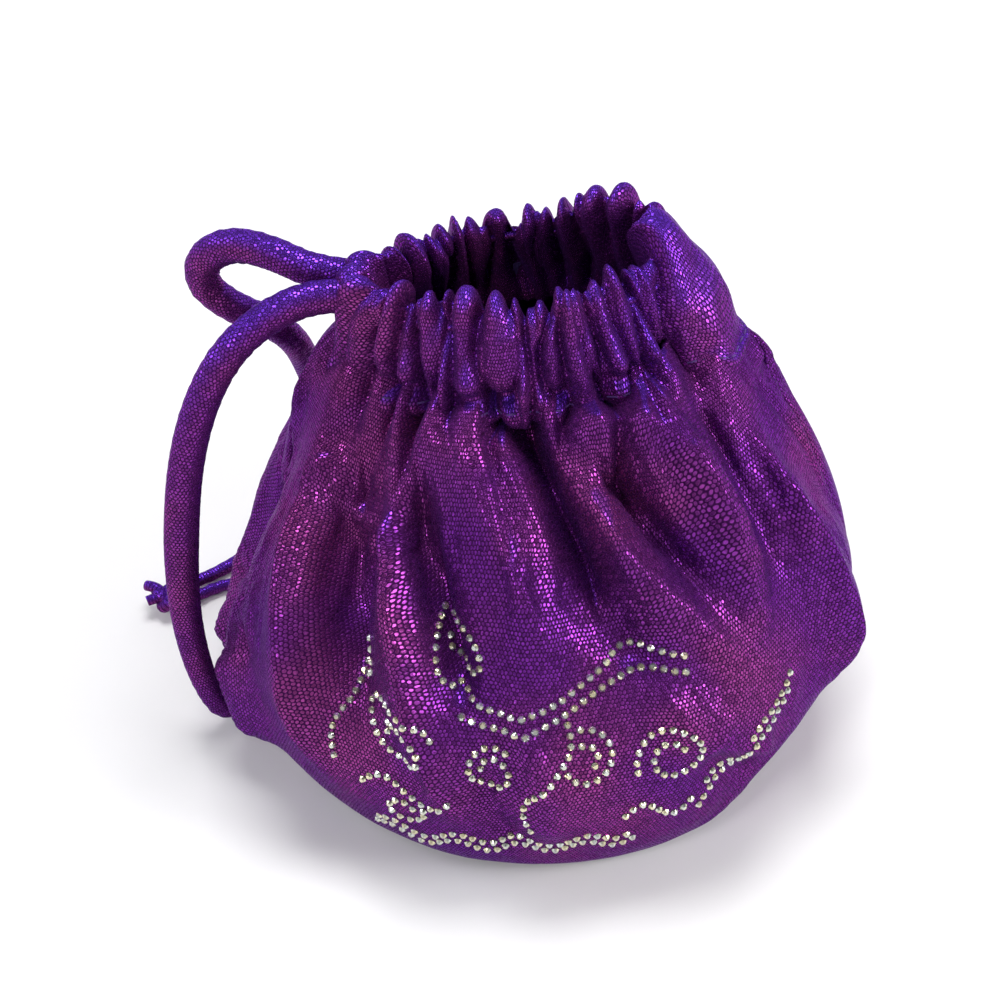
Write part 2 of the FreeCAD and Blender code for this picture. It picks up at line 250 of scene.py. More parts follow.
def cord_mesh(name, line, half_thickness, seed):
    """A soft cloth tube along a line (metres): half thickness in mm by share of its length,
    a sewn seam along one side, and small wrinkles where it bends."""
    line, lengths = even_points(line, CORD_STEP)
    tangent = np.gradient(line, axis=0)
    tangent /= np.linalg.norm(tangent, axis=1, keepdims=True)
    sides, ups = across_line(tangent, [0, 0, 1.0])
    share = lengths / lengths[-1]
    half = np.interp(share, *zip(*half_thickness))
    bend = np.linalg.norm(np.gradient(tangent, axis=0), axis=1) / np.gradient(lengths)
    bend = np.convolve(bend, np.ones(7) / 7, "same")
    angle = np.linspace(0, 2 * math.pi, CORD_AROUND, endpoint=False)
    rng = np.random.default_rng(seed)
    phase = rng.uniform(0, 6.28, 4)
    s = lengths[:, None] / MM
    ripple = (np.sin(s * 1.9 + 2 * np.cos(angle + phase[0]) + phase[1])
              + 0.6 * np.sin(s * 1.17 + 1.5 * np.sin(2 * angle + phase[2])))
    strength = CORD_WRINKLE * np.clip(bend[:, None] * 0.030, 0.08, 1.0)
    seam = np.exp(-((angle - CORD_SEAM_ANGLE) / CORD_SEAM_WIDTH) ** 2)
    reach = half[:, None] * (1 - CORD_FLATNESS * np.cos(2 * angle)) + ripple * strength - CORD_SEAM_DEPTH * seam
    points = (line[:, None, :] / MM + reach[..., None] * (
        np.cos(angle)[None, :, None] * sides[:, None, :] + np.sin(angle)[None, :, None] * ups[:, None, :]))
    points[..., 2] = np.maximum(points[..., 2], 0.05)
    uv = np.zeros(points.shape[:2] + (2,))
    uv[..., 0] = angle[None, :] / (2 * math.pi) * CORD_CLOTH_WIDTH
    uv[..., 1] = s
    return grid_mesh(name, points, uv, closed=True, caps=True), line


make_camera()
strand_a, line_a = cord_mesh("drawstring_a", spline_points("a", STRAND_A), THICKNESS_A, seed=3)
strand_b, line_b = cord_mesh("drawstring_b", spline_points("b", STRAND_B), THICKNESS_B, seed=8)


# ---- the gathers, shared by the casing and the cloth below it ----
WALL_HALF_WIDTH, WALL_HALF_DEPTH = 37.0, 20.0     # the middle of the casing's wall
PLAIN_RIGHT, PLAIN_LEFT = 9.5, 6.0                # how far from each end the cloth stays ungathered


def ring_lengths():
    """Angles round the mouth, and the length of wall from the right end to each."""
    turn = np.linspace(0, 2 * math.pi, 1441)
    x, y = WALL_HALF_WIDTH * np.cos(turn), WALL_HALF_DEPTH * np.sin(turn)
    return np.degrees(turn), running_total(np.hypot(np.diff(x), np.diff(y)))


RING_ANGLES, RING_LENGTHS = ring_lengths()
RING = RING_LENGTHS[-1]


def ring_place(angle):
    """The length of wall from the right end to each angle in degrees."""
    return np.interp(np.asarray(angle) % 360.0, RING_ANGLES, RING_LENGTHS)


def make_creases():
    """Uneven creases between the gathers: place round the ring, slant, depth, width, reach down the
    bag, and the stretch of the casing's height where each one is deep."""
    rng = random.Random(11)
    creases, place = [], PLAIN_RIGHT
    while place < RING - PLAIN_RIGHT:
        gap = rng.choice([3.0, 3.8, 4.8, 5.6, 6.4, 7.6])
        creases.append({
            "place": place, "slant": rng.uniform(-2.6, 2.6), "bow": rng.uniform(-1.7, 1.7),
            "turn": rng.uniform(0, 6),
            "depth": rng.uniform(0.8, 1.0) if gap > 4.0 else rng.uniform(0.45, 0.8),
            "width": 0.17 * gap + 0.35, "reach": rng.choice([10.0, 15.0, 22.0, 34.0, 48.0]),
            "low": rng.choice([-30.0, -30.0, -30.0, 6.0]),
            "high": rng.choice([60.0, 60.0, 60.0, 60.0, 44.0])})
        place += gap
    return creases


CREASES = make_creases()
CREASE_PLACES = np.array([crease["place"] for crease in CREASES])


def crease_depth(place, height):
    """How deep in a crease each point is, 0 to 1, from its place round the ring and its height up the
    casing's outside and over its rim, both in millimetres. Below 0 is the bag's own cloth."""
    total = np.zeros(np.broadcast(place, height).shape)
    for crease in CREASES:
        up = (height - 10.0) / 12.0
        centre = crease["place"] + crease["slant"] * np.clip(up, -1, 1.4)
        centre = centre + crease["bow"] * np.cos(up * 2.0 + crease["turn"])
        apart = np.abs((place - centre + RING / 2) % RING - RING / 2)
        width = crease["width"] * (1.0 + np.clip(-height, 0, 40) * 0.035)
        strength = crease["depth"] * smooth(-3.0, 3.0, height - crease["low"])
        strength = strength * smooth(-3.0, 3.0, crease["high"] - height)
        strength = strength * np.exp(-(np.clip(-height, 0, 200) / crease["reach"]) ** 1.4)
        total = total + strength * np.exp(-(apart / width) ** 1.35)
    return np.clip(total, 0.0, 1.0)


def crease_distance(place):
    """How far round the ring each place is from the nearest crease, in millimetres."""
    apart = np.abs((np.asarray(place)[..., None] - CREASE_PLACES + RING / 2) % RING - RING / 2)
    return apart.min(axis=-1)


def gather_value(place, seed, low, high):
    """A value of its own for each gather, evened out over the creases between them."""
    rng = random.Random(seed)
    values = np.array([rng.uniform(low, high) for _ in CREASE_PLACES])
    total = 0.0
    for shift in (-0.8, -0.4, 0.0, 0.4, 0.8):
        gather = np.searchsorted(CREASE_PLACES, (place + shift) % RING, side="right") % len(CREASE_PLACES)
        total = total + values[gather]
    return total / 5


def right_fold(place):
    """1 at the casing's right end, where the cloth runs over in one broad fold, and 0 elsewhere."""
    apart = np.minimum(place, RING - place)
    return 1.0 - smooth(PLAIN_RIGHT * 0.55, PLAIN_RIGHT * 1.25, apart)


def left_fold(place):
    """1 at the casing's left end, where the cords come out of a loose sleeve, and 0 elsewhere."""
    return 1.0 - smooth(PLAIN_LEFT * 0.5, PLAIN_LEFT * 1.6, np.abs(place - RING / 2))


def broad_fold(place):
    """Both plain ends of the casing together."""
    return right_fold(place) + 0.75 * left_fold(place)


# ---- the bag's cloth ----
COLUMNS = 400
ROW_STEP = 1.35
CLOTH_WIDTH = 476.0           # round the bag, laid flat
CLOTH_THICKNESS = 1.0
LOWEST = 0.02                 # nothing of the cloth is lower than this
LEANING_HEIGHTS = (62.0, 112.0)                   # between these the bag takes up the mouth's lean
FOLD_STRENGTH = 1.9           # the folds' heights below are multiplied by this
GATHER_PUFF, GATHER_PINCH, GATHER_DROP = 3.0, 10.5, 24.0
LOW_PINCH = 6.5               # depth of a crease that runs on down the bag
SEAM_DEPTH, SEAM_HALF_WIDTH = 1.0, 0.9            # the side seams' groove, in millimetres and degrees
TUCKED_TOP = (116.0, 39.2, 22.0, -2.1, 12.0)      # where the cloth ends, behind the casing's gathers
BASE_MIDDLE = [(0.0, 1.0, 1.0, 0.0, 0.0), (0.0, 20.0, 19.0, 0.0, 0.0), (0.0, 40.0, 38.5, 0.0, 0.0)]


def meridian(step):
    """The bag's sections from the middle of its base to the mouth, evenly spaced down the side,
    with the length of cloth from the base's middle to each."""
    fine = line_through(BASE_MIDDLE + SECTIONS + [TUCKED_TOP], 16)
    fine[:, 0] = np.maximum(fine[:, 0], 0.0)
    radius = (fine[:, 1] + fine[:, 2]) / 2
    length = running_total(np.hypot(np.diff(radius), np.diff(fine[:, 0])))
    wanted = np.linspace(0, length[-1], int(length[-1] / step))
    return np.stack([np.interp(wanted, length, fine[:, k]) for k in range(5)], axis=1), wanted


def bag_surface():
    """The puffed bag without its folds: rows x columns of points, the angle of each column in degrees,
    the heights of the rows, and the length of cloth from the middle of the base to each row."""
    rows, length = meridian(ROW_STEP)
    angle = np.arange(COLUMNS) * 360.0 / COLUMNS
    turn = np.radians(angle)[None, :]
    height, half_width, half_depth, right, back = [rows[:, k][:, None] for k in range(5)]
    x = right + half_width * np.cos(turn)
    y = back + half_depth * np.sin(turn)
    z = height + (x - MOUTH_BASE[0]) * np.tan(MOUTH_LEAN * smooth(*LEANING_HEIGHTS, height))
    return np.stack([x, y, z], axis=-1), angle, rows[:, 0], length


# Folds of the cloth: height of the ridge (below 0 the depth of a hollow) and half width in millimetres,
# then the places it runs through as (angle from the right end in degrees, height in millimetres).
FRONT_FOLDS = [
    (3.5, 6.5, [(-158, 92), (-150, 76), (-141, 60), (-135, 42), (-128, 22)]),
    (-7.5, 9.0, [(-150, 96), (-140, 86), (-133, 76), (-126, 62), (-121, 46)]),
    (5.0, 4.0, [(-126, 104), (-128, 93), (-124, 84), (-118, 75), (-113, 60), (-107, 41), (-103, 22)]),
    (3.0, 3.5, [(-158, 97), (-150, 93), (-141, 90), (-131, 92)]),
    (-6.0, 6.5, [(-123, 99), (-119, 90), (-111, 84), (-105, 70), (-101, 58)]),
    (3.5, 5.0, [(-113, 108), (-106, 99), (-98, 91), (-91, 81), (-86, 70)]),
    (-8.0, 3.0, [(-101, 114), (-94, 108), (-89, 101), (-84, 94), (-79, 86), (-74, 78)]),
    (-3.5, 7.0, [(-86, 92), (-79, 84), (-73, 76), (-66, 66)]),
    (-3.5, 3.0, [(-93, 112), (-88, 105), (-85, 99)]),
    (4.5, 4.0, [(-87, 109), (-84, 100), (-80, 94), (-70, 86), (-56, 72), (-44, 56)]),
    (-4.0, 5.0, [(-76, 100), (-68, 97), (-60, 90), (-52, 76)]),
    (4.5, 3.2, [(-80, 107), (-71, 107), (-60, 106), (-52, 100), (-49, 90), (-46, 76), (-42, 62)]),
    (-3.5, 4.0, [(-72, 112), (-64, 111), (-56, 109)]),
    (3.5, 4.0, [(-55, 112), (-50, 102), (-44, 86), (-41, 62)]),
    (-3.0, 6.0, [(-40, 104), (-36, 90), (-34, 72)]),
    (3.5, 4.5, [(-44, 115), (-34, 111), (-22, 106), (-10, 98)]),
    (-4.5, 4.0, [(-20, 118), (-8, 114), (4, 108), (14, 100)]),
    (4.0, 8.0, [(-30, 92), (-24, 74), (-22, 52), (-28, 34)]),
    (2.5, 6.0, [(-70, 66), (-60, 52), (-48, 40), (-40, 30)]),
    (-2.5, 8.0, [(-62, 46), (-52, 34), (-44, 24)]),
    (2.2, 7.0, [(-92, 60), (-90, 40), (-88, 22)]),
    (-2.0, 7.0, [(-100, 50), (-98, 34), (-96, 18)]),
    (4.0, 8.0, [(-166, 36), (-158, 26), (-150, 15)]),
    (-2.0, 5.0, [(-170, 52), (-162, 46), (-152, 38)]),
    (-2.5, 16.0, [(-10, 22), (-24, 18), (-40, 12), (-54, 8)]),
    (4.0, 14.0, [(-12, 117), (-4, 111), (0, 103), (2, 90)]),
]


def back_folds():
    """Folds that fan out down the back from the casing, uneven in length and strength."""
    rng = random.Random(23)
    folds = []
    for number, angle in enumerate(np.arange(32.0, 150.0, 11.5)):
        sign = 1 if number % 2 else -1
        end = rng.uniform(34, 78)
        spread = (angle - 92.0) * 0.05 + rng.uniform(-5, 5)
        way = [(angle + spread * share, 113 + (end - 113) * share) for share in (0.0, 0.35, 0.7, 1.0)]
        folds.append((sign * rng.uniform(1.6, 3.0), rng.uniform(5.0, 8.0), way))
    return folds + [
        (4.5, 13.0, [(184, 117), (182, 108), (181, 98), (180, 84)]),
        (-6.0, 14.0, [(176, 78), (178, 64), (180, 50), (182, 40)]),
        (2.6, 8.0, [(188, 34), (180, 26), (170, 18)]),
        (-2.0, 4.0, [(190, 46), (182, 40), (172, 36)]),
        (3.0, 9.0, [(60, 50), (80, 36), (100, 34)]),
        (-3.0, 8.0, [(110, 60), (130, 44), (140, 30)]),
    ]


def fold_heights(points, angles, heights):
    """How far the long folds stand off the smooth bag at each point, in millimetres."""
    flat = points.reshape(-1, 3)
    total = np.zeros(len(flat))
    for size, width, way in FRONT_FOLDS + back_folds():
        way = np.array(way, float)
        fine = np.linspace(0, len(way) - 1, 14 * len(way))
        angle = np.interp(fine, np.arange(len(way)), way[:, 0])
        height = np.interp(fine, np.arange(len(way)), way[:, 1])
        for _ in range(8):
            angle[1:-1] = (angle[:-2] + 2 * angle[1:-1] + angle[2:]) / 4
            height[1:-1] = (height[:-2] + 2 * height[1:-1] + height[2:]) / 4
        row = np.interp(height, heights, np.arange(len(heights))).round().astype(int)
        column = (angle % 360.0 / 360.0 * len(angles)).round().astype(int) % len(angles)
        line = points[row, column]
        for _ in range(6):
            line[1:-1] = (line[:-2] + 2 * line[1:-1] + line[2:]) / 4
        share = fine / fine[-1]
        taper = smooth(-0.12, 0.18, share) * (1 - smooth(0.62, 1.0, share))
        middle = line.mean(axis=0)
        near = np.linalg.norm(flat - middle, axis=1) < np.linalg.norm(line - middle, axis=1).max() + 3.2 * width
        apart = np.linalg.norm(flat[near][:, None, :] - line[None, :, :], axis=2)
        closest = apart.argmin(axis=1)
        distance = apart[np.arange(len(closest)), closest]
        shape = np.exp(-(distance / width) ** (1.2 if size > 0 else 1.9))
        total[near] += size * taper[closest] * shape
    return total.reshape(points.shape[:2])


def crossing_waves(points, scale, seed):
    """Smooth noise between about -1 and 1 at points in millimetres, from a few crossing waves."""
    rng = np.random.default_rng(seed)
    total = np.zeros(points.shape[:-1])
    for _ in range(7):
        direction = rng.normal(size=3)
        direction /= np.linalg.norm(direction)
        length = scale * rng.uniform(0.7, 1.4)
        total += np.sin(points @ direction * (2 * math.pi / length) + rng.uniform(0, 2 * math.pi))
    return total / 4.0


def bag_cloth():
    """The folded cloth of the whole bag: its points, and its UV in millimetres of flat cloth."""
    points, angle, heights, length = bag_surface()
    below = (length - length[-1] + 3.0)[:, None]
    place = ring_place(angle)[None, :]
    offset = fold_heights(points, angle, heights)
    crease = crease_depth(place, below)
    gathered = np.exp(-(np.clip(-below, 0, 200) / GATHER_DROP) ** 1.6) * (1 - 0.8 * broad_fold(place))
    tucked = 1.0 - 0.55 * smooth(-6.0, -1.0, below) - 0.40 * smooth(-1.0, 3.0, below)
    lifted = gather_value(place, 41, -1.2, 1.4)
    plain = 1.0 - smooth(PLAIN_RIGHT * 1.6, PLAIN_RIGHT * 2.6, np.minimum(place, RING - place))
    offset = offset * (1.0 - 0.75 * plain * smooth(-22.0, -9.0, below))
    offset = FOLD_STRENGTH * offset + gathered * tucked * (GATHER_PUFF + lifted - GATHER_PINCH * crease)
    offset = offset - LOW_PINCH * crease * (1 - gathered)
    offset = offset + crossing_waves(points, 30.0, 3) * 0.7 + crossing_waves(points, 11.0, 4) * 0.16
    seam = np.minimum(np.abs(angle - 180.0), np.minimum(angle, 360.0 - angle))[None, :]
    offset = offset - SEAM_DEPTH * np.exp(-(seam / SEAM_HALF_WIDTH) ** 2)
    standing = smooth(3.0, 18.0, heights)[:, None]
    moved = points + normals_of(points, True) * (offset * standing)[..., None]
    moved[..., 2] = np.maximum(moved[..., 2], LOWEST)
    uv = np.zeros(points.shape[:2] + (2,))
    uv[..., 0] = angle[None, :] / 360.0 * CLOTH_WIDTH
    uv[..., 1] = length[:, None]
    return moved, uv


SETTLE_SCALE, SETTLE_FRAMES, SETTLE_CAP = 10.0, 14, 4.5
SPARE_CLOTH = 0.035           # how much longer the cloth is than the sculpted folds, which wrinkles it
HELD_HEIGHTS = (0.6, 6.0)     # the cloth is held up to the first, and free from the second
HELD_ROWS = (16, 4)           # and held again between these rows from the top


def settle(points):
    """Cloth simulation: the folded bag, with a little spare cloth and air inside, finds its own small
    wrinkles. Held at the casing and at the base, and no point moves further than the cap."""
    rows, columns = points.shape[:2]
    bag = grid_mesh("settling", points, np.zeros(points.shape[:2] + (2,)), closed=True)
    bag.data.transform(Matrix.Scale(SETTLE_SCALE, 4))
    at_top = smooth(rows - HELD_ROWS[0], rows - HELD_ROWS[1], np.arange(rows))[:, None]
    hold = np.maximum(1.0 - smooth(*HELD_HEIGHTS, points[..., 2]), at_top)
    group = bag.vertex_groups.new(name="held")
    for index, weight in enumerate(hold.ravel()):
        if weight > 0.01:
            group.add([index], float(weight), "REPLACE")
    cloth_physics = bag.modifiers.new("cloth", "CLOTH")
    physics = cloth_physics.settings
    physics.vertex_group_mass = "held"
    physics.quality = 5
    physics.mass = 0.4
    physics.tension_stiffness = physics.compression_stiffness = 18.0
    physics.shear_stiffness = 6.0
    physics.bending_stiffness = 0.08
    physics.air_damping = 4.0
    physics.shrink_min = -SPARE_CLOTH
    physics.use_pressure = True
    physics.uniform_pressure_force = 1.5
    physics.effector_weights.gravity = 0.15
    cloth_physics.collision_settings.use_collision = False
    scene = bpy.context.scene
    for number in range(1, SETTLE_FRAMES + 1):
        scene.frame_set(number)
    done = bag.evaluated_get(bpy.context.evaluated_depsgraph_get()).to_mesh()
    found = np.empty(rows * columns * 3, dtype=np.float32)
    done.vertices.foreach_get("co", found)
    moved = found.reshape(points.shape) / SETTLE_SCALE / MM - points
    mesh = bag.data
    bpy.data.objects.remove(bag)
    bpy.data.meshes.remove(mesh)
    scene.frame_set(1)
    far = np.linalg.norm(moved, axis=-1, keepdims=True)
    moved = moved * np.minimum(1.0, SETTLE_CAP / np.maximum(far, 1e-6))
    settled = points + moved
    settled[..., 2] = np.maximum(settled[..., 2], LOWEST)
    return settled


CALM_PASSES, CALM_FROM = 6, 0.40     # millimetres that a point may stand off its neighbours


def calm(points):
    """Take single sharp points out of the cloth, leaving its folds as they are."""
    for _ in range(CALM_PASSES):
        beside = (np.roll(points, 1, axis=1) + np.roll(points, -1, axis=1)) / 2
        beside[1:-1] = (beside[1:-1] + (points[:-2] + points[2:]) / 2) / 2
        far = np.linalg.norm(beside - points, axis=-1, keepdims=True)
        points = points + (beside - points) * np.clip(1.0 - CALM_FROM / np.maximum(far, 1e-6), 0, 1)
    return points


INNER_LOWEST = 0.4


def shell_mesh(name, points, uv):
    """A sheet of cloth with both its faces and its edges, from a grid of points on its outer face."""
    inner = points - normals_of(points, False) * CLOTH_THICKNESS
    inner[..., 2] = np.maximum(inner[..., 2], INNER_LOWEST)
    rows, columns = points.shape[:2]
    loop = np.concatenate([points, inner[:, ::-1]], axis=1)
    loop_uv = np.concatenate([uv, uv[:, ::-1]], axis=1)
    piece = grid_mesh(name, loop, loop_uv, closed=True)
    mesh = piece.data
    bottom = [(i, i + 1, 2 * columns - 2 - i, 2 * columns - 1 - i) for i in range(columns - 1)]
    top = (rows - 1) * 2 * columns
    work = bmesh.new()
    work.from_mesh(mesh)
    work.verts.ensure_lookup_table()
    layer = work.loops.layers.uv["cloth"]
    for corners, offset in [(b[::-1], 0) for b in bottom] + [(b, top) for b in bottom]:
        face = work.faces.new([work.verts[offset + c] for c in corners])
        face.smooth = True
        for corner in face.loops:
            row, column = divmod(corner.vert.index, 2 * columns)
            corner[layer].uv = tuple(loop_uv[row, column])
    work.to_mesh(mesh)
    work.free()
    return piece


# ---- the casing ----
CASING_COLUMNS = 760
CASING_ROWS = 84
# The wall's outline: outward from its middle, and up from the stitch line, from the outside over the
# rim and down to the hem inside the mouth.
WALL_OUTLINE = [(6.6, -7.5), (8.2, -5.6), (7.6, -2.4), (7.0, 1.0), (6.8, 4.5), (6.4, 8.5), (5.7, 12.5),
                (4.9, 16.5), (3.4, 20.6), (0.4, 22.6), (-2.6, 21.0), (-4.0, 17.0), (-4.3, 11.5), (-3.9, 6.0),
                (-3.1, 1.0), (-3.0, -4.0), (-2.2, -8.5), (-1.0, -9.5)]
BELOW_STITCHES = 3.5                  # length of wall from its lower edge to where its map starts
WALL_PINCH = 4.1                      # how much deeper than a gather's top a crease is
RIM_LEAN = 3.2                        # how far the rim leans in over the mouth
STITCH_HEIGHT, GATHER_ROUNDING = 0.0, 3.4
RIM_CORNER_ANGLE, RIM_CORNER_RISE = 48.0, 8.0
RIGHT_END_LEAN, RIGHT_END_RISE = 8.0, 3.0         # the right end's rim leans in over the mouth, and stands up
LEFT_END_OUT, BACK_RIM_LEAN = 1.5, 2.0
CASING_CLOTH_SHARE, CASING_CLOTH_START = 0.62, 205.0      # where the casing's map lies on the flat cloth
RIGHT_FLARE, LEFT_FLARE = 5.5, 5.0    # how far the ends spread out where they run into the bag's shoulders


def wall_outline():
    """The wall's outline, smooth, with its own length along it in millimetres from the stitch line."""
    fine = line_through(WALL_OUTLINE, 10)
    length = running_total(np.linalg.norm(np.diff(fine, axis=0), axis=1))
    wanted = np.linspace(0, length[-1], CASING_ROWS)
    out, up = np.interp(wanted, length, fine[:, 0]), np.interp(wanted, length, fine[:, 1])
    return out, up, wanted - BELOW_STITCHES


def rim_lean(angle, up):
    """How far the casing's wall leans in over the mouth, by the angle round it and the height."""
    place = ring_place(angle)
    lean = RIM_LEAN + right_fold(place) * (RIGHT_END_LEAN - RIM_LEAN)
    lean = lean - left_fold(place) * (LEFT_END_OUT + RIM_LEAN)
    lean = lean + BACK_RIM_LEAN * np.clip(np.sin(np.radians(angle)), 0, 1) * (1 - broad_fold(place))
    return lean * smooth(0.0, 22.0, up)


def casing_cloth():
    """The gathered casing: its points, and its UV in millimetres of flat cloth."""
    out, up, length = [values[:, None] for values in wall_outline()]
    angle = np.arange(CASING_COLUMNS) * 360.0 / CASING_COLUMNS
    place = ring_place(angle)[None, :]
    turn = np.radians(angle)[None, :]
    broad = broad_fold(place)
    crease = crease_depth(place, length) * (1 - 0.85 * broad)
    spread_place, spread_length = np.broadcast_arrays(place, length)
    around = np.stack([spread_place, spread_length, 0 * spread_place], axis=-1)
    puff = 1.5 - WALL_PINCH * crease + 0.35 * crossing_waves(around, 7.0, 9)
    puff = puff + 1.0 * crossing_waves(around * np.array([1.0, 0.4, 1.0]), 24.0, 12)
    round_off = (1.0 - np.clip(crease_distance(place) / GATHER_ROUNDING, 0, 1)) ** 2 * (1 - broad)
    puff = puff + gather_value(place, 47, -1.2, 1.0) * (1 - broad) - 1.1 * round_off
    gathers, outside = 1 - broad, out > 0
    overhang = gather_value(place, 41, -2.2, 2.2) * gathers * np.exp(-((up - 2.0) / 5.5) ** 2) * outside
    rim = (gather_value(place, 43, -2.2, 1.4) * gathers - 1.4 * round_off) * smooth(10.0, 22.0, up)
    slope_out, slope_up = np.gradient(out, axis=0), np.gradient(up, axis=0)
    steep = np.hypot(slope_out, slope_up)
    flare = right_fold(place) * RIGHT_FLARE + left_fold(place) * LEFT_FLARE
    flare = flare * np.exp(-((up + 3.0) / 9.0) ** 2) * outside
    tuck = gather_value(place, 45, -1.0, 4.0) * gathers * np.exp(-((up - STITCH_HEIGHT) / 2.2) ** 2) * outside
    stretch_out = out + slope_up / steep * puff + overhang + flare - tuck - rim_lean(angle[None, :], up)
    stretch_up = up - slope_out / steep * puff + rim + 0.5 * overhang - 0.25 * flare
    stretch_up = stretch_up + RIGHT_END_RISE * right_fold(place) * smooth(4.0, 20.0, up)
    corner = np.exp(-(((angle - RIM_CORNER_ANGLE + 180.0) % 360.0 - 180.0) / 22.0) ** 2)[None, :]
    stretch_up = stretch_up + RIM_CORNER_RISE * corner * smooth(4.0, 20.0, up)
    nx, ny = np.cos(turn) / WALL_HALF_WIDTH, np.sin(turn) / WALL_HALF_DEPTH
    size = np.hypot(nx, ny)
    swing = 1.6 * np.sin(place / RING * 2 * math.pi * 4.0 + 1.0) * smooth(0, 20, up)
    x = WALL_HALF_WIDTH * np.cos(turn) + nx / size * (stretch_out + swing)
    y = WALL_HALF_DEPTH * np.sin(turn) + ny / size * (stretch_out + swing)
    points = mouth_point(x, y, stretch_up)
    uv = np.zeros(points.shape[:2] + (2,))
    uv[..., 0] = place / RING * CLOTH_WIDTH * CASING_CLOTH_SHARE
    uv[..., 1] = CASING_CLOTH_START + length
    return points, uv


LAID_FROM, LAID_TO = 9.0, -5.5        # heights on the casing's wall between which it comes onto the cloth
LAID_UNDER, LAID_EVENED = 0.8, 30     # its depth under the cloth's face, and how often its way is evened out


def lay_on_cloth(points, cloth):
    """Run the casing's two plain ends down onto the bag's cloth, so that they end just under its face."""
    index = np.arange(cloth.shape[0] * cloth.shape[1]).reshape(cloth.shape[:2])
    after = np.roll(index, -1, axis=1)
    faces = np.stack([index[:-1], after[:-1], after[1:], index[1:]], axis=-1).reshape(-1, 4)
    tree = BVHTree.FromPolygons(cloth.reshape(-1, 3).tolist(), faces.tolist())
    out, up, _ = wall_outline()
    broad = broad_fold(ring_place(np.arange(CASING_COLUMNS) * 360.0 / CASING_COLUMNS))
    low = np.flatnonzero((out > 0) & (up < LAID_FROM))
    way = np.zeros((len(low), CASING_COLUMNS, 3))
    for row in low:
        for column in range(CASING_COLUMNS):
            near, normal, _, _ = tree.find_nearest(Vector(points[row, column]))
            way[row - low[0], column] = np.array(near - normal * LAID_UNDER) - points[row, column]
    for _ in range(LAID_EVENED):
        way = (np.roll(way, 1, axis=1) + 2 * way + np.roll(way, -1, axis=1)) / 4
        way[1:-1] = (way[:-2] + 2 * way[1:-1] + way[2:]) / 4
    laid = points.copy()
    laid[low] += way * (broad[None, :] * (1.0 - smooth(LAID_TO, LAID_FROM, up[low]))[:, None])[..., None]
    return laid


# ---- the small parts ----
def tube_mesh(name, line, half, around, closed=False):
    """A plain round tube along points in millimetres. half is its half thickness, one value or one a point."""
    line = np.array(line, float)
    half = np.broadcast_to(half, len(line))
    tangent = np.gradient(line, axis=0)
    if closed:
        tangent = np.roll(line, -1, axis=0) - np.roll(line, 1, axis=0)
    tangent /= np.linalg.norm(tangent, axis=1, keepdims=True)
    sides, ups = across_line(tangent, [0.3, 0.2, 1.0])
    turn = np.arange(around) * 2 * math.pi / around
    ring = np.cos(turn)[None, :, None] * sides[:, None, :] + np.sin(turn)[None, :, None] * ups[:, None, :]
    points = line[:, None, :] + half[:, None, None] * ring
    uv = np.zeros(points.shape[:2] + (2,))
    uv[..., 0] = turn[None, :] / (2 * math.pi) * CORD_CLOTH_WIDTH
    uv[..., 1] = running_total(np.linalg.norm(np.diff(line, axis=0), axis=1))[:, None]
    if closed:
        points = np.concatenate([points, points[:1]])
        uv = np.concatenate([uv, uv[-1:] + 1.0])
    return grid_mesh(name, points, uv, closed=True, caps=not closed)


def join(name, parts):
    """One object from several, which go."""
    with bpy.context.temp_override(active_object=parts[0], object=parts[0], selected_objects=parts,
                                   selected_editable_objects=parts):
        bpy.ops.object.join()
    parts[0].name = name
    return parts[0]


CHANNEL_HEIGHT = 14.0
HIDDEN_FROM = 168.0                               # degrees either way from the right end
HIDDEN_HALF, HIDDEN_END_HALF, HIDDEN_END_RUN = 0.9, 3.9, 4.0


def hidden_cord():
    """The stretch of cord inside the casing, from one exit round the mouth to the other."""
    angle = np.linspace(-HIDDEN_FROM, HIDDEN_FROM, 120)
    turn = np.radians(angle)
    lean = rim_lean(angle, 0 * angle + CHANNEL_HEIGHT)
    line = mouth_point((WALL_HALF_WIDTH - lean) * np.cos(turn), (WALL_HALF_DEPTH - lean) * np.sin(turn),
                       CHANNEL_HEIGHT + 0 * turn)
    ends = np.array([line_b[0], line_a[0]]) / MM
    inner = ends + np.array([HIDDEN_END_RUN, 0.0, 0.0])
    line = np.concatenate([ends[1:], inner[1:], line, inner[:1], ends[:1]])
    half = np.full(len(line), HIDDEN_HALF)
    half[[0, 1, -2, -1]] = HIDDEN_END_HALF
    return tube_mesh("drawstring_in_casing_cloth", line, half, around=12)


STITCH_ROW, STITCH_COLUMNS, STITCH_EVERY = 6, 6, 10       # on the casing's own grid
STITCH_LONGEST, STITCH_HALF = 3.4, 0.22


def stitches(casing):
    """Short thread stitches along the line that closes the casing, sunk in between the gathers."""
    parts = []
    row = casing[STITCH_ROW]
    for number, column in enumerate(range(0, len(row) - STITCH_COLUMNS, STITCH_EVERY)):
        ends = [row[column], row[column + STITCH_COLUMNS // 2], row[column + STITCH_COLUMNS]]
        if np.linalg.norm(ends[2] - ends[0]) > STITCH_LONGEST:
            continue
        line = [ends[0], np.mean(ends, axis=0) * 0.4 + ends[1] * 0.6, ends[2]]
        parts.append(tube_mesh(f"stitch_{number}", line, STITCH_HALF, around=6))
    return join("casing_stitches", parts)


SEAM_STEP, SEAM_TOP_SHARE, SEAM_FROM_CLOTH, SEAM_WIDTH = 1.6, 0.93, 1.6, 7.5
BAG_MIDDLE = np.array([0.0, 6.0, 58.0])


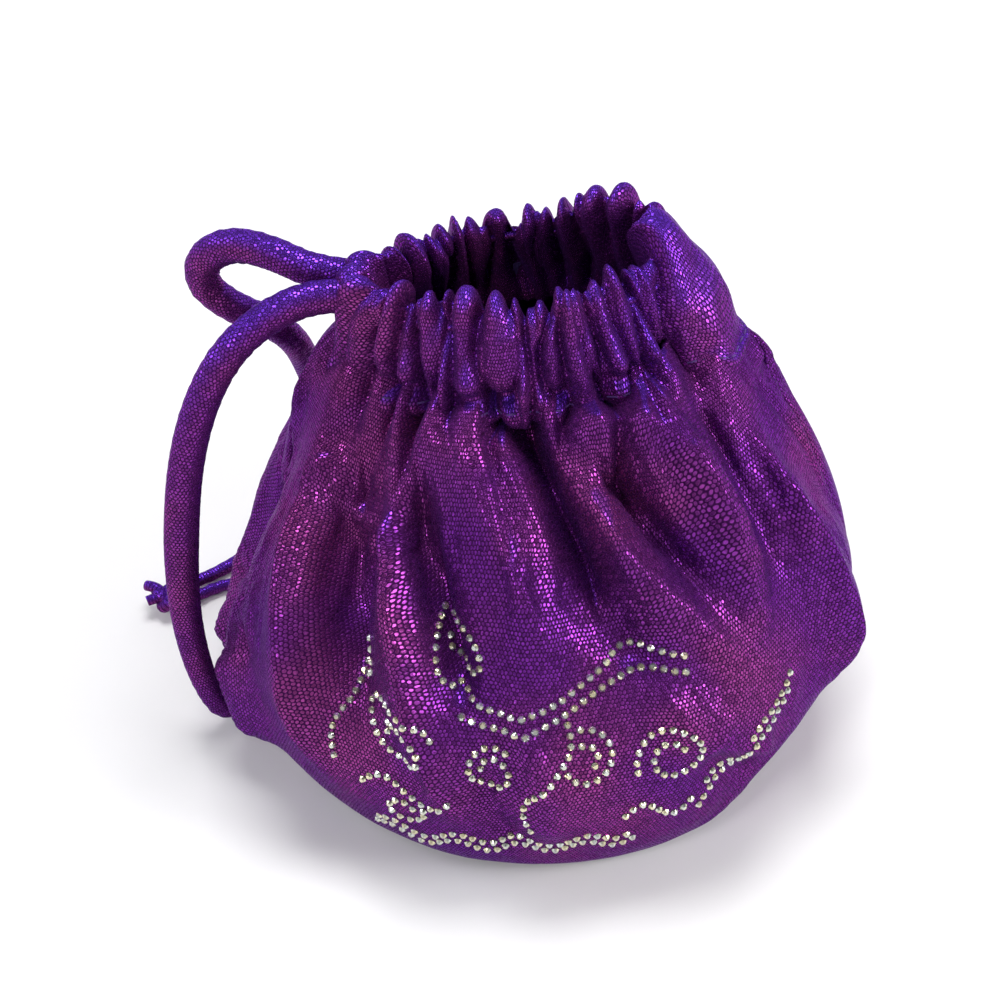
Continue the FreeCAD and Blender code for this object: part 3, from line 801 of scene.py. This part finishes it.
def seam_strip(points):
    """The two plies of the side and bottom seam, standing inward from the cloth: up the left side, under
    the base and up the right side."""
    half = points.shape[1] // 2
    last = int(points.shape[0] * SEAM_TOP_SHARE)
    left = points[:last, half][::-1]
    right = points[:last, 0]
    line = np.concatenate([left, right])
    keep = [0]
    for k in range(1, len(line)):
        if np.linalg.norm(line[k] - line[keep[-1]]) > SEAM_STEP:
            keep.append(k)
    line = line[keep]
    inward = BAG_MIDDLE - line
    inward[:, 1] = 0
    inward /= np.linalg.norm(inward, axis=1, keepdims=True)
    line = line + inward * SEAM_FROM_CLOTH
    wave = np.sin(np.arange(len(line)) * 0.23)[:, None] * np.array([0, 1.0, 0])
    side = np.array([0, 1.0, 0])
    ring = [line - side * 0.6, line + side * 0.6, line + inward * SEAM_WIDTH + side * 0.5 + wave,
            line + inward * SEAM_WIDTH - side * 0.5 + wave]
    grid = np.stack(ring, axis=1)
    uv = np.zeros(grid.shape[:2] + (2,))
    uv[..., 1] = np.arange(len(line))[:, None] * SEAM_STEP
    uv[..., 0] = np.array([0, 1, 8, 9])[None, :]
    return grid_mesh("seam_allowance_cloth", grid, uv, closed=True, caps=True)


KNOT_SHIFT, KNOT_HEIGHT, KNOT_HALF = (0.0032, 0.0006), 0.0045, 1.75      # onto the cords' ends
KNOT_SIZE = np.array([1.05, 1.05, 1.3])
KNOT_TIPS = [((-6.0, 2.6, 2.2), 1.2), ((-5.4, -2.2, 1.0), 0.6)]           # where each goes, and its arch
TIP_THICK, TIP_THIN = 1.7, 1.45


def knot_piece():
    """Both cord ends tied in one overhand knot: a tight three-lobed tube, with two short tips."""
    low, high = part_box("drawstring_knot")
    middle = np.array([(low[0] + high[0]) / 2 + KNOT_SHIFT[0], (low[1] + high[1]) / 2 + KNOT_SHIFT[1],
                       KNOT_HEIGHT]) / MM
    turn = np.linspace(0, 2 * math.pi, 90, endpoint=False)
    knot = np.stack([np.sin(turn) + 2 * np.sin(2 * turn), np.cos(turn) - 2 * np.cos(2 * turn),
                     -np.sin(3 * turn)], axis=1)
    knot = knot * KNOT_SIZE + middle + np.array([0, 0, 0.4])
    parts = [tube_mesh("knot_lump", knot, KNOT_HALF, around=12, closed=True)]
    for number, (way, arch) in enumerate(KNOT_TIPS):
        share = np.linspace(0, 1, 14)[:, None]
        tip = middle + share * np.array(way) + np.array([[0, 0, arch]]) * np.sin(share * math.pi)
        tip[:, 2] = np.maximum(tip[:, 2], TIP_THICK)
        parts.append(tube_mesh(f"knot_tip_{number}", tip, np.linspace(TIP_THICK, TIP_THIN, 14), around=12))
    return join("drawstring_knot_tied", parts)


# ---- the rhinestones ----
STONE_RADIUS, STONE_TABLE, STONE_HEIGHT, STONE_PITCH = 1.0, 0.55, 0.8, 2.55
CURL_INNER_RADIUS, CURVE_STEPS, ROW_GAP = 2.4, 240, 3.3
FACETS, STONE_SUNK, STONE_GIRDLE = 8, -0.15, 0.18
BEFORE_BAG, FEELER = -0.2, 0.0012     # metres: where the search for the cloth starts, and its reach round


def curl(x, height, radius, turns, start, hand):
    """A spiral that winds inwards, from the front, in millimetres."""
    places = []
    for step in range(CURVE_STEPS):
        share = step / (CURVE_STEPS - 1)
        turn = math.radians(start) + hand * share * turns * 2 * math.pi
        reach = radius + (CURL_INNER_RADIUS - radius) * share
        places.append((x + reach * math.cos(turn), height + reach * math.sin(turn)))
    return places


def vine(start, end, swing, waves):
    """A wavy line from one place to another."""
    run, rise = end[0] - start[0], end[1] - start[1]
    length = math.hypot(run, rise)
    places = []
    for step in range(CURVE_STEPS):
        share = step / (CURVE_STEPS - 1)
        off = swing * math.sin(share * waves * 2 * math.pi)
        places.append((start[0] + run * share - rise / length * off,
                       start[1] + rise * share + run / length * off))
    return places


def double(start, end, swing, waves):
    """Two wavy lines, one above the other."""
    return [vine((start[0], start[1] + up), (end[0], end[1] + up), swing, waves) for up in (0.0, ROW_GAP)]


STONE_ROWS = {
    "rhinestones_centre": double((-19, 56), (35, 64), -3.0, 1.0) + [
        curl(-19, 66, 7.0, 1.3, -90, -1), vine((4, 60), (-2, 28), 4.0, 1.0),
        curl(10, 48, 7.5, 1.5, 130, -1), curl(-12, 44, 6.5, 1.4, 60, 1)],
    "rhinestones_left": [
        curl(-34, 50, 8.0, 1.5, 20, 1), vine((-50, 36), (-41, 62), 2.5, 1.0),
        vine((-43, 33), (-22, 36), 3.0, 1.0), curl(-33, 28, 5.5, 1.2, 90, -1)],
    "rhinestones_right": [curl(31, 46, 9.0, 1.6, 200, -1), vine((20, 30), (36, 30), 3.0, 1.0)],
    "rhinestones_hem": double((-40, 15), (22, 20), 2.0, 4.0) + double((38, 26), (60, 49), 1.0, 2.0),
}


def stone_groups(cloth):
    """Each group's cut stones, set flat on the front of the cloth."""
    tree = BVHTree.FromObject(cloth, bpy.context.evaluated_depsgraph_get())

    def on_front(x, z):
        return tree.ray_cast(Vector((x, BEFORE_BAG, z)), Vector((0, 1, 0)))[0]

    rng = random.Random(77)
    taken = []
    groups = {}
    for name, rows in STONE_ROWS.items():
        points, faces = [], []
        for row in rows:
            for x, height in row:
                hit = on_front(x * MM, height * MM)
                if hit is None or any((hit - other).length < STONE_PITCH * MM for other in taken):
                    continue
                taken.append(hit)
                around = [on_front(x * MM + dx, height * MM + dz)
                          for dx, dz in ((FEELER, 0), (-FEELER, 0), (0, FEELER), (0, -FEELER))]
                if None in around:
                    continue
                normal = (around[0] - around[1]).cross(around[2] - around[3]).normalized()
                if normal.y > 0:
                    normal = -normal
                side = normal.orthogonal().normalized()
                side.rotate(Quaternion(normal, rng.uniform(0, 2 * math.pi)))
                up = normal.cross(side)
                first = len(points)
                for radius, lift, shift in ((STONE_RADIUS, STONE_SUNK, 0.0), (STONE_RADIUS, STONE_GIRDLE, 0.0),
                                            (STONE_TABLE, STONE_HEIGHT, 0.5)):
                    for k in range(FACETS):
                        turn = (k + shift) * 2 * math.pi / FACETS
                        points.append(hit / MM + radius * (math.cos(turn) * side + math.sin(turn) * up)
                                      + lift * normal)
                ring = [[first + FACETS * level + k for k in range(FACETS)] for level in range(3)]
                faces.append(ring[2])
                faces.append(ring[0][::-1])
                for k in range(FACETS):
                    n = (k + 1) % FACETS
                    faces.append([ring[0][k], ring[0][n], ring[1][n], ring[1][k]])
                    faces.append([ring[1][k], ring[1][n], ring[2][k]])
                    faces.append([ring[2][k], ring[1][n], ring[2][n]])
        mesh = bpy.data.meshes.new(name + "_cut")
        mesh.from_pydata([tuple(p * MM) for p in points], [], faces)
        mesh.update()
        groups[name] = link(name + "_cut", mesh)
    return groups


# ---- making the pieces ----
cloth, cloth_uv = bag_cloth()
cloth = settle(cloth)
cloth = calm(cloth)
wrapped = np.concatenate([cloth, cloth[:, :1]], axis=1)
wrapped_uv = np.concatenate([cloth_uv, cloth_uv[:, :1] + np.array([CLOTH_WIDTH, 0.0])], axis=1)
half = COLUMNS // 2
back_cloth = shell_mesh("back_panel_cloth", wrapped[:, :half + 1], wrapped_uv[:, :half + 1])
front_cloth = shell_mesh("front_panel_cloth", wrapped[:, half:], wrapped_uv[:, half:])
casing_points, casing_uv = casing_cloth()
casing_points = lay_on_cloth(casing_points, cloth)
casing = grid_mesh("casing_cloth", casing_points, casing_uv, closed=True, looped=True)
inside_cord = hidden_cord()
thread = stitches(casing_points)
allowance = seam_strip(cloth)
knot = knot_piece()
stones = stone_groups(front_cloth)


# ---- materials ----
class Nodes:
    """A material's node tree, with short ways to add nodes."""

    def __init__(self, name):
        self.material = bpy.data.materials.new(name)
        self.material.use_nodes = True
        self.tree = self.material.node_tree
        self.shader = self.tree.nodes["Principled BSDF"]

    def add(self, kind, **settings):
        node = self.tree.nodes.new("ShaderNode" + kind)
        for key, value in settings.items():
            setattr(node, key, value)
        return node

    def feed(self, socket, value):
        if isinstance(value, bpy.types.NodeSocket):
            self.tree.links.new(value, socket)
        else:
            socket.default_value = value

    def math(self, operation, *values):
        node = self.add("Math", operation=operation)
        for socket, value in zip(node.inputs, values):
            self.feed(socket, value)
        return node.outputs[0]

    def vector(self, operation, *values):
        node = self.add("VectorMath", operation=operation)
        for socket, value in zip(node.inputs, values):
            self.feed(socket, value)
        return node.outputs["Value"] if operation in ("LENGTH", "DOT_PRODUCT") else node.outputs["Vector"]

    def ramp(self, value, low, high, out_low=0.0, out_high=1.0):
        node = self.add("MapRange", interpolation_type="SMOOTHSTEP")
        for socket, given in zip(node.inputs, (value, low, high, out_low, out_high)):
            self.feed(socket, given)
        return node.outputs["Result"]

    def mix(self, share, a, b):
        node = self.add("Mix", data_type="RGBA")
        self.feed(node.inputs[0], share)
        self.feed(node.inputs[6], a)
        self.feed(node.inputs[7], b)
        return node.outputs[2]

    def blend_vectors(self, share, a, b):
        node = self.add("Mix", data_type="VECTOR")
        self.feed(node.inputs[0], share)
        self.feed(node.inputs[4], a)
        self.feed(node.inputs[5], b)
        return node.outputs[1]

    def noise(self, where, scale, detail=2.0):
        node = self.add("TexNoise")
        self.feed(node.inputs["Vector"], where)
        node.inputs["Scale"].default_value = scale
        node.inputs["Detail"].default_value = detail
        return node.outputs["Fac"]

    def set(self, **sockets):
        for name, value in sockets.items():
            self.feed(self.shader.inputs[name.replace("_", " ")], value)


DOT_PITCH = 0.98              # millimetres from one foil dot to the next
DOT_EDGE, DOT_SOFT = 0.46, 0.28
WAVER_SCALE, WAVER_REACH = 0.55, 0.9              # the rows of dots aren't quite straight
DOT_TILT, DOT_RELIEF = 0.26, 0.00022
# The last colour on this line and on the next is a painted sheen: the blue violet that the foil shows where it
# faces the top lamp, painted onto up-facing dots and ground.
VIOLET, PINK, PAINTED_TOP_SHEEN = (0.185, 0.025, 0.33, 1.0), (0.345, 0.054, 0.275, 1.0), (0.18, 0.050, 0.80, 1.0)
GROUND, PAINTED_TOP_SHEEN_GROUND = (0.030, 0.002, 0.042, 1.0), (0.024, 0.004, 0.10, 1.0)


def foil_material(name, painted_sheen_from=0.86, painted_sheen_share=0.6):
    """Stretch cloth with rows of shiny foil dots, each tilted a little, on a dark plum ground. Cloth that
    faces up more than painted_sheen_from turns towards blue violet, by up to painted_sheen_share: a painted
    sheen, the foil's colour shift under the top lamp painted into the colour of its dots and ground."""
    n = Nodes(name)
    where = n.add("UVMap", uv_map="cloth").outputs["UV"]
    place = n.add("TexCoord").outputs["Object"]
    waver = n.add("TexNoise", noise_dimensions="3D")
    n.feed(waver.inputs["Vector"], where)
    waver.inputs["Scale"].default_value = WAVER_SCALE
    shift = n.vector("SCALE", n.vector("SUBTRACT", waver.outputs["Color"], (0.5, 0.5, 0.5)))
    shift.node.inputs["Scale"].default_value = WAVER_REACH
    grown = n.vector("DIVIDE", n.vector("ADD", where, shift), (DOT_PITCH, DOT_PITCH * math.sqrt(3), 1.0))
    distances, cells = [], []
    for offset in (0.0, 0.5):
        moved = n.vector("ADD", grown, (offset, offset, 0.0))
        part = n.vector("SUBTRACT", n.vector("FRACTION", moved), (0.5, 0.5, 0.0))
        flat = n.vector("MULTIPLY", part, (1.0, math.sqrt(3), 0.0))
        distances.append(n.vector("LENGTH", flat))
        cells.append(n.vector("ADD", n.vector("FLOOR", moved), (offset * 37.0, offset * 11.0, 0.0)))
    nearer = n.math("LESS_THAN", distances[1], distances[0])
    distance = n.math("MINIMUM", distances[0], distances[1])
    cell = n.blend_vectors(nearer, cells[0], cells[1])
    chance = n.add("TexWhiteNoise", noise_dimensions="3D")
    n.feed(chance.inputs["Vector"], cell)
    dot = n.ramp(distance, DOT_EDGE, DOT_SOFT)
    normal = n.add("NewGeometry").outputs["Normal"]
    # Painted sheen: the more the cloth faces up, the more its dots and ground are tinted blue violet, as the
    # foil looks under the top lamp.
    painted_top_sheen = n.ramp(n.vector("DOT_PRODUCT", normal, (0.0, 0.0, 1.0)), painted_sheen_from, 1.0, 0.0, painted_sheen_share)
    cloud = n.noise(place, 34.0)
    pink = n.ramp(cloud, 0.32, 0.74)
    face = n.mix(painted_top_sheen, n.mix(pink, VIOLET, PINK), PAINTED_TOP_SHEEN)
    shade = n.ramp(chance.outputs["Value"], 0.0, 1.0, 0.50, 1.0)
    bright = n.vector("SCALE", face)
    n.feed(bright.node.inputs["Scale"], shade)
    colour = n.mix(dot, n.mix(painted_top_sheen, GROUND, PAINTED_TOP_SHEEN_GROUND), bright)
    tilt = n.vector("SUBTRACT", chance.outputs["Color"], (0.5, 0.5, 0.5))
    tilt = n.vector("SCALE", tilt)
    tilt.node.inputs["Scale"].default_value = DOT_TILT
    tilted = n.vector("NORMALIZE", n.vector("ADD", normal, tilt))
    bump = n.add("Bump")
    bump.inputs["Strength"].default_value = 0.55
    bump.inputs["Distance"].default_value = DOT_RELIEF
    n.feed(bump.inputs["Height"], dot)
    n.feed(bump.inputs["Normal"], tilted)
    n.set(Base_Color=colour, Metallic=n.math("MULTIPLY", dot, 0.85),
          Roughness=n.ramp(dot, 0.0, 1.0, 0.75, 0.27), Normal=bump.outputs["Normal"], Specular_IOR_Level=0.2,
          Specular_Tint=(0.60, 0.28, 0.85, 1.0))
    n.set(Sheen_Weight=0.06, Sheen_Roughness=0.45, Sheen_Tint=(0.35, 0.12, 1.0, 1.0))
    return n.material


def plain_cloth(name, colour, other, roughness=0.8, scale=1.4):
    """Plain knitted cloth: fine ribs from the cloth's own map, and a slight change of shade."""
    n = Nodes(name)
    where = n.add("UVMap", uv_map="cloth").outputs["UV"]
    place = n.add("TexCoord").outputs["Object"]
    ribs = n.add("TexWave", bands_direction="X")
    n.feed(ribs.inputs["Vector"], where)
    ribs.inputs["Scale"].default_value = scale
    ribs.inputs["Distortion"].default_value = 0.6
    n.set(Base_Color=n.mix(n.ramp(n.noise(place, 60.0), 0.35, 0.65), colour, other))
    bump = n.add("Bump")
    bump.inputs["Strength"].default_value = 0.4
    bump.inputs["Distance"].default_value = 0.0002
    n.feed(bump.inputs["Height"], ribs.outputs["Fac"])
    n.set(Roughness=roughness, Normal=bump.outputs["Normal"], Sheen_Weight=0.3, Sheen_Tint=(0.4, 0.3, 1.0, 1.0))
    return n.material


def crystal_material():
    """Foil-backed glass stones: bright facets, each stone a little different in tone."""
    n = Nodes("crystal_cut")
    place = n.add("TexCoord").outputs["Object"]
    tone = n.noise(place, 420.0, detail=1.0)
    n.set(Base_Color=n.mix(n.ramp(tone, 0.35, 0.65), (0.70, 0.65, 0.44, 1.0), (0.60, 0.64, 0.60, 1.0)),
          Metallic=0.85, Roughness=0.10, Coat_Weight=0.3, Coat_Roughness=0.03)
    return n.material


def wear(piece, *materials):
    """Give a piece these materials and no others."""
    piece.data.materials.clear()
    for material in materials:
        piece.data.materials.append(material)


foil = foil_material("foil_dot_cloth")
# Painted sheen on the casing and cords starts on gentler slopes and goes further, so their upper faces are
# painted strongly blue violet.
casing_foil = foil_material("foil_dot_casing", painted_sheen_from=0.30, painted_sheen_share=0.9)
cord_foil = foil_material("foil_dot_cord", painted_sheen_from=0.20, painted_sheen_share=0.85)
reverse = plain_cloth("cloth_reverse", (0.030, 0.012, 0.10, 1.0), (0.045, 0.018, 0.13, 1.0))
thread_cloth = plain_cloth("sewing_thread", (0.05, 0.01, 0.12, 1.0), (0.07, 0.015, 0.16, 1.0),
                           roughness=0.6, scale=9.0)
crystal = crystal_material()

for panel in (front_cloth, back_cloth):     # the foil is on the outer face, and the reverse shows inside
    wear(panel, foil, reverse)
    outer, ring = half + 1, 2 * (half + 1)
    last_face = (len(cloth) - 1) * ring
    inner = [int(p.index < last_face and outer <= p.index % ring < ring - 1) for p in panel.data.polygons]
    panel.data.polygons.foreach_set("material_index", inner)
wear(casing, casing_foil)
for piece in (strand_a, strand_b, inside_cord, knot):
    wear(piece, cord_foil)
wear(thread, thread_cloth)
wear(allowance, reverse)
for piece in stones.values():
    wear(piece, crystal)


# ---- floor and lights ----
FLOOR_LEVEL, FLOOR_AROUND, FLOOR_BEND_STEPS = -0.0002, 96, 12
FLOOR_FLAT, FLOOR_BEND, FLOOR_TOP = (0.4, 0.9, 1.5), 0.7, 2.4
FLOOR_COLOUR, WHITE = (0.92, 0.92, 0.92, 1.0), (1.0, 1.0, 1.0, 1.0)


def make_floor():
    """A plain pale floor that curves up into a backdrop all round, far from the bag. Away from the bag its foot
    glows: a painted glow that brightens the far floor and the foot of the backdrop.
    """
    line = [(radius, 0.0) for radius in FLOOR_FLAT]
    for step in range(1, FLOOR_BEND_STEPS + 1):
        turn = step / FLOOR_BEND_STEPS * math.pi / 2
        line.append((FLOOR_FLAT[-1] + FLOOR_BEND * math.sin(turn), FLOOR_BEND - FLOOR_BEND * math.cos(turn)))
    line.append((FLOOR_FLAT[-1] + FLOOR_BEND, FLOOR_TOP))
    points = [(0.0, 0.0, FLOOR_LEVEL)]
    for radius, height in line:
        for k in range(FLOOR_AROUND):
            turn = k / FLOOR_AROUND * 2 * math.pi
            points.append((radius * math.cos(turn), radius * math.sin(turn), height + FLOOR_LEVEL))
    faces = [(0, 1 + k, 1 + (k + 1) % FLOOR_AROUND) for k in range(FLOOR_AROUND)]
    for first in range(1, 1 + (len(line) - 1) * FLOOR_AROUND, FLOOR_AROUND):
        second = first + FLOOR_AROUND
        for k in range(FLOOR_AROUND):
            n = (k + 1) % FLOOR_AROUND
            faces.append((first + k, second + k, second + n, first + n))
    mesh = bpy.data.meshes.new("floor")
    mesh.from_pydata(points, [], faces)
    mesh.polygons.foreach_set("use_smooth", [True] * len(faces))
    floor = link("floor", mesh)
    n = Nodes("pale_floor")
    place = n.add("TexCoord").outputs["Object"]
    away = n.vector("LENGTH", n.vector("MULTIPLY", place, (1.0, 1.0, 0.0)))
    height = n.vector("DOT_PRODUCT", place, (0.0, 0.0, 1.0))
    # Painted glow: the floor gives off light of its own, none near the bag, rising further out and fading up
    # the backdrop.
    glow = n.math("MULTIPLY", n.ramp(away, 0.40, 1.6, 0.0, 0.55), n.ramp(height, 0.03, 0.30, 1.0, 0.0))
    n.set(Base_Color=FLOOR_COLOUR, Roughness=0.9, Emission_Color=WHITE, Emission_Strength=glow)
    n.material.cycles.emission_sampling = "NONE"
    mesh.materials.append(n.material)


LIGHT_TARGET = Vector((0, 0, 0.06))
WORLD_STRENGTH = 0.07


def area_light(name, place, size, power, colour=(1.0, 1.0, 1.0)):
    """A soft rectangular lamp that points at the bag."""
    data = bpy.data.lights.new(name, "AREA")
    data.shape = "RECTANGLE"
    data.size, data.size_y = size
    data.energy = power
    data.color = colour
    lamp = bpy.data.objects.new(name, data)
    lamp.location = Vector(place)
    lamp.rotation_euler = (LIGHT_TARGET - lamp.location).to_track_quat("-Z", "Y").to_euler()
    bpy.context.collection.objects.link(lamp)


def make_lights():
    """Four lamps round the bag, and a faint even world."""
    area_light("top", (0.0, 0.25, 1.2), (0.6, 0.5), 10.0)
    area_light("left", (-1.0, 0.10, 0.60), (0.4, 0.6), 2.6, (0.86, 0.88, 1.0))
    area_light("right", (1.0, -0.30, 0.60), (0.4, 0.6), 8.0)
    area_light("front", (-0.45, -0.70, 0.85), (0.22, 0.22), 2.6)
    world = bpy.data.worlds.new("studio")
    world.use_nodes = True
    world.node_tree.nodes["Background"].inputs["Color"].default_value = WHITE
    world.node_tree.nodes["Background"].inputs["Strength"].default_value = WORLD_STRENGTH
    bpy.context.scene.world = world
    bpy.context.scene.view_settings.view_transform = "Standard"


make_floor()
make_lights()


def gives(piece, slot, *nodes):
    """Hide the model's parts that this piece stands in for, and bake its place into its mesh."""
    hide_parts(*nodes)
    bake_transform(piece)


gives(front_cloth, "foil_fabric", "front_panel")
gives(back_cloth, "foil_fabric", "back_panel")
gives(casing, "foil_fabric", "casing_left_end", "casing_right_end", "casing_front_gathers",
      "casing_back_gathers")
gives(inside_cord, "cord_fabric", "drawstring_in_casing")
gives(thread, "thread", "casing_stitching")
gives(allowance, "fabric_reverse", "seam_allowance")
for node, piece in stones.items():
    gives(piece, "crystal", node)
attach(knot, BAG)
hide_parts("drawstring_knot")
for piece, line, letter in ((strand_a, line_a, "a"), (strand_b, line_b, "b")):
    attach(piece, BAG)
    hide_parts(f"drawstring_strand_{letter}", f"drawstring_tail_{letter}")
